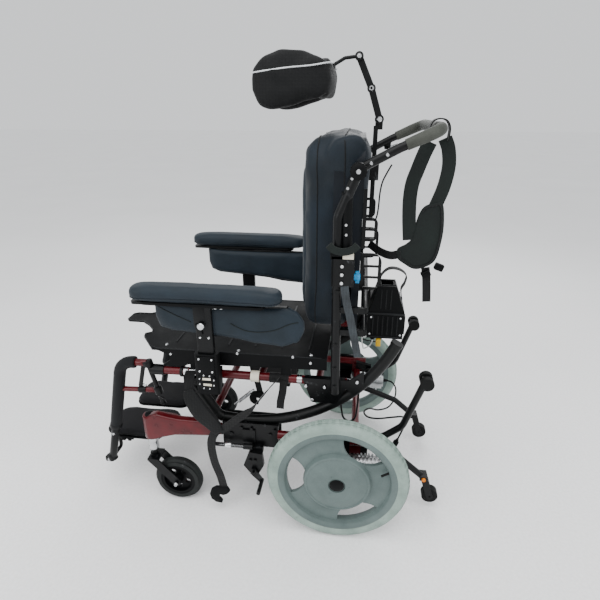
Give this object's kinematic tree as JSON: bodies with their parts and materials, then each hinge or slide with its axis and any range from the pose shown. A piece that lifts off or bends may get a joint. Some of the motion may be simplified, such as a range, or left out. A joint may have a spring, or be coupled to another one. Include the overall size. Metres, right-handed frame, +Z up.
{
  "type": "power wheelchair",
  "caption": "Tilt-in-space powered wheelchair with rocker frame, swing-away hangers, padded arms and back, stroller handle and linked headrest.",
  "frame": {"origin": "on the floor under the middle of the chair's bounding box", "axes": "+Z up, front of the chair faces -Y, the chair's left side is +X"},
  "size_m": [0.656, 1.083, 1.317],
  "materials": {
    "red_paint": "gloss",
    "black_paint": "semi gloss",
    "satin_black": "satin",
    "cast_aluminium": "satin",
    "bright_steel": "brushed",
    "black_plastic": "matte",
    "upholstery": "woven",
    "webbing": "woven",
    "black_fabric": "woven",
    "foot_fabric": "woven",
    "grey_foam": "matte",
    "blue_plastic": "gloss",
    "orange_plastic": "gloss",
    "black_rubber": "matte",
    "wheel_silver": "satin",
    "grey_tyre": "matte",
    "dark_tyre": "matte"
  },
  "bodies": {
    "base": {"base_frame": "red_paint", "caster_arms": "red_paint", "roller_housings": "black_paint", "axle_mounts": "black_paint", "drive_motors": "cast_aluminium", "wheel_lock_mounts": "black_paint", "motor_cable": "black_rubber", "cable_plug": "black_plastic"},
    "front_roller_pair": {"front_rollers": "black_plastic"},
    "rear_roller_pair": {"rear_rollers": "black_plastic"},
    "seat": {"rockers": "satin_black", "seat_frame": "red_paint", "seat_brackets": "black_paint", "seat_pan": "black_plastic", "arm_receivers": "black_paint", "positioning_belt": "webbing"},
    "back": {"back_canes": "black_paint", "back_shell": "black_plastic", "back_cushion": "upholstery", "back_hardware": "black_paint", "battery_box": "black_plastic"},
    "latch": {"latch_knob": "blue_plastic"},
    "head_bar": {"headrest_bar": "black_paint"},
    "head_link_lower": {"headrest_link_lower": "black_paint"},
    "head_link_upper": {"headrest_link_upper": "black_paint"},
    "head_pad": {"headrest_pad": "black_fabric"},
    "handle": {"push_handle": "grey_foam"},
    "trigger": {"tilt_trigger": "bright_steel"},
    "harness": {"harness": "webbing"},
    "rear_wheel_left": {"wheel_left": "wheel_silver", "tyre_left": "grey_tyre"},
    "fork_left": {"fork_left": "black_paint"},
    "caster_left": {"caster_hub_left": "black_plastic", "caster_tyre_left": "dark_tyre"},
    "lock_left": {"lock_lever_left": "black_paint"},
    "tip_arm_left": {"anti_tip_left": "black_paint"},
    "tip_wheel_left": {"anti_tip_wheel_left": "black_rubber"},
    "tip_button_left": {"release_button_left": "orange_plastic"},
    "step_arm_left": {"step_arm_left": "black_paint"},
    "step_wheels_left": {"step_wheels_left": "black_rubber"},
    "armrest_left": {"armrest_left": "black_paint", "arm_pad_left": "upholstery"},
    "hanger_left": {"hanger_left": "grey_foam"},
    "footplate_left": {"footplate_left": "foot_fabric"},
    "rear_wheel_right": {"wheel_right": "wheel_silver", "tyre_right": "grey_tyre"},
    "fork_right": {"fork_right": "black_paint"},
    "caster_right": {"caster_hub_right": "black_plastic", "caster_tyre_right": "dark_tyre"},
    "lock_right": {"lock_lever_right": "black_paint"},
    "tip_arm_right": {"anti_tip_right": "black_paint"},
    "tip_wheel_right": {"anti_tip_wheel_right": "black_rubber"},
    "tip_button_right": {"release_button_right": "orange_plastic"},
    "step_arm_right": {"step_arm_right": "black_paint"},
    "step_wheels_right": {"step_wheels_right": "black_rubber"},
    "armrest_right": {"armrest_right": "black_paint", "arm_pad_right": "upholstery"},
    "hanger_right": {"hanger_right": "grey_foam"},
    "footplate_right": {"footplate_right": "foot_fabric"}
  },
  "joints": [
    {"name": "tilt", "type": "hinge", "parent": "base", "child": "seat", "pos_m": [0, -0.0615, 0.78], "axis": [-1, 0, 0], "range_deg": [0, 40]},
    {"name": "front_roller_spin", "type": "hinge", "parent": "base", "child": "front_roller_pair", "pos_m": [0, -0.09682, 0.27493], "axis": [1, 0, 0], "continuous": true},
    {"name": "rear_roller_spin", "type": "hinge", "parent": "base", "child": "rear_roller_pair", "pos_m": [0, 0.02206, 0.28064], "axis": [1, 0, 0], "continuous": true},
    {"name": "back_recline", "type": "hinge", "parent": "seat", "child": "back", "pos_m": [0, 0.2105, 0.462], "axis": [-1, 0, 0], "range_deg": [0, 20]},
    {"name": "latch_turn", "type": "hinge", "parent": "back", "child": "latch", "pos_m": [0.224, 0.2485, 0.788], "axis": [0, 1, 0], "range_deg": [0, 90]},
    {"name": "handle_angle", "type": "hinge", "parent": "back", "child": "handle", "pos_m": [0, 0.2485, 1.049], "axis": [1, 0, 0], "range_deg": [-45, 30]},
    {"name": "trigger_squeeze", "type": "hinge", "parent": "handle", "child": "trigger", "pos_m": [-0.201, 0.3295, 1.073], "axis": [1, 0, 0], "range_deg": [0, 6], "stiffness_Nm_per_rad": 2, "springref_deg": -11.46},
    {"name": "harness_swing", "type": "hinge", "parent": "handle", "child": "harness", "pos_m": [0.135, 0.4325, 1.139], "axis": [1, 0, 0], "range_deg": [-45, 60]},
    {"name": "headrest_height", "type": "slide", "parent": "back", "child": "head_bar", "axis": [0, 0, 1], "range_m": [-0.04, 0.08]},
    {"name": "headrest_pivot_low", "type": "hinge", "parent": "head_bar", "child": "head_link_lower", "pos_m": [0, 0.2945, 1.156], "axis": [1, 0, 0], "range_deg": [-30, 15]},
    {"name": "headrest_pivot_mid", "type": "hinge", "parent": "head_link_lower", "child": "head_link_upper", "pos_m": [0, 0.2695, 1.231], "axis": [1, 0, 0], "range_deg": [-40, 12]},
    {"name": "headrest_pivot_top", "type": "hinge", "parent": "head_link_upper", "child": "head_pad", "pos_m": [0, 0.2345, 1.306], "axis": [1, 0, 0], "range_deg": [-30, 10]},
    {"name": "rear_wheel_spin_left", "type": "hinge", "parent": "base", "child": "rear_wheel_left", "pos_m": [0.302, 0.2285, 0.203], "axis": [1, 0, 0], "continuous": true},
    {"name": "caster_swivel_left", "type": "hinge", "parent": "base", "child": "fork_left", "pos_m": [0.222, -0.3545, 0.24], "axis": [0, 0, 1], "continuous": true},
    {"name": "caster_spin_left", "type": "hinge", "parent": "fork_left", "child": "caster_left", "pos_m": [0.222, -0.2825, 0.077], "axis": [1, 0, 0], "continuous": true},
    {"name": "wheel_lock_left", "type": "hinge", "parent": "base", "child": "lock_left", "pos_m": [0.262, -0.0235, 0.172], "axis": [1, 0, 0], "range_deg": [0, 50]},
    {"name": "anti_tip_fold_left", "type": "hinge", "parent": "base", "child": "tip_arm_left", "pos_m": [0.16, 0.2985, 0.22], "axis": [1, 0, 0], "range_deg": [0, 45]},
    {"name": "anti_tip_wheel_spin_left", "type": "hinge", "parent": "tip_arm_left", "child": "tip_wheel_left", "pos_m": [0.16, 0.5165, 0.05], "axis": [1, 0, 0], "continuous": true},
    {"name": "release_press_left", "type": "slide", "parent": "tip_arm_left", "child": "tip_button_left", "axis": [-1, 0, 0], "range_m": [0, 0.003], "stiffness_N_per_m": 300, "springref_m": -0.002},
    {"name": "step_arm_fold_left", "type": "hinge", "parent": "base", "child": "step_arm_left", "pos_m": [0.192, 0.3105, 0.272], "axis": [1, 0, 0], "range_deg": [-60, 0]},
    {"name": "step_wheel_spin_left", "type": "hinge", "parent": "step_arm_left", "child": "step_wheels_left", "pos_m": [0.192, 0.4625, 0.48], "axis": [1, 0, 0], "continuous": true},
    {"name": "armrest_height_left", "type": "slide", "parent": "seat", "child": "armrest_left", "axis": [0, 0, 1], "range_m": [0, 0.09]},
    {"name": "hanger_swing_left", "type": "hinge", "parent": "seat", "child": "hanger_left", "pos_m": [0.206, -0.3485, 0.494], "axis": [0, -0.2362, 0.9717], "range_deg": [0, 55]},
    {"name": "footplate_flip_left", "type": "hinge", "parent": "hanger_left", "child": "footplate_left", "pos_m": [0.152, -0.4915, 0.156], "axis": [0, 1, 0], "range_deg": [0, 85]},
    {"name": "rear_wheel_spin_right", "type": "hinge", "parent": "base", "child": "rear_wheel_right", "pos_m": [-0.302, 0.2285, 0.203], "axis": [1, 0, 0], "continuous": true},
    {"name": "caster_swivel_right", "type": "hinge", "parent": "base", "child": "fork_right", "pos_m": [-0.222, -0.3545, 0.24], "axis": [0, 0, 1], "continuous": true},
    {"name": "caster_spin_right", "type": "hinge", "parent": "fork_right", "child": "caster_right", "pos_m": [-0.222, -0.2825, 0.077], "axis": [1, 0, 0], "continuous": true},
    {"name": "wheel_lock_right", "type": "hinge", "parent": "base", "child": "lock_right", "pos_m": [-0.262, -0.0235, 0.172], "axis": [1, 0, 0], "range_deg": [0, 50]},
    {"name": "anti_tip_fold_right", "type": "hinge", "parent": "base", "child": "tip_arm_right", "pos_m": [-0.16, 0.2985, 0.22], "axis": [1, 0, 0], "range_deg": [0, 45]},
    {"name": "anti_tip_wheel_spin_right", "type": "hinge", "parent": "tip_arm_right", "child": "tip_wheel_right", "pos_m": [-0.16, 0.5165, 0.05], "axis": [1, 0, 0], "continuous": true},
    {"name": "release_press_right", "type": "slide", "parent": "tip_arm_right", "child": "tip_button_right", "axis": [1, 0, 0], "range_m": [0, 0.003], "stiffness_N_per_m": 300, "springref_m": -0.002},
    {"name": "step_arm_fold_right", "type": "hinge", "parent": "base", "child": "step_arm_right", "pos_m": [-0.192, 0.3105, 0.272], "axis": [1, 0, 0], "range_deg": [-60, 0]},
    {"name": "step_wheel_spin_right", "type": "hinge", "parent": "step_arm_right", "child": "step_wheels_right", "pos_m": [-0.192, 0.4625, 0.48], "axis": [1, 0, 0], "continuous": true},
    {"name": "armrest_height_right", "type": "slide", "parent": "seat", "child": "armrest_right", "axis": [0, 0, 1], "range_m": [0, 0.09]},
    {"name": "hanger_swing_right", "type": "hinge", "parent": "seat", "child": "hanger_right", "pos_m": [-0.206, -0.3485, 0.494], "axis": [0, 0.2362, -0.9717], "range_deg": [0, 55]},
    {"name": "footplate_flip_right", "type": "hinge", "parent": "hanger_right", "child": "footplate_right", "pos_m": [-0.152, -0.4915, 0.156], "axis": [0, -1, 0], "range_deg": [0, 85]}
  ],
  "couplings": [
    {"joint": "front_roller_spin", "follows": "tilt", "ratio": 27.128},
    {"joint": "rear_roller_spin", "follows": "tilt", "ratio": 27.128},
    {"joint": "harness_swing", "follows": "handle_angle", "ratio": -1}
  ]
}
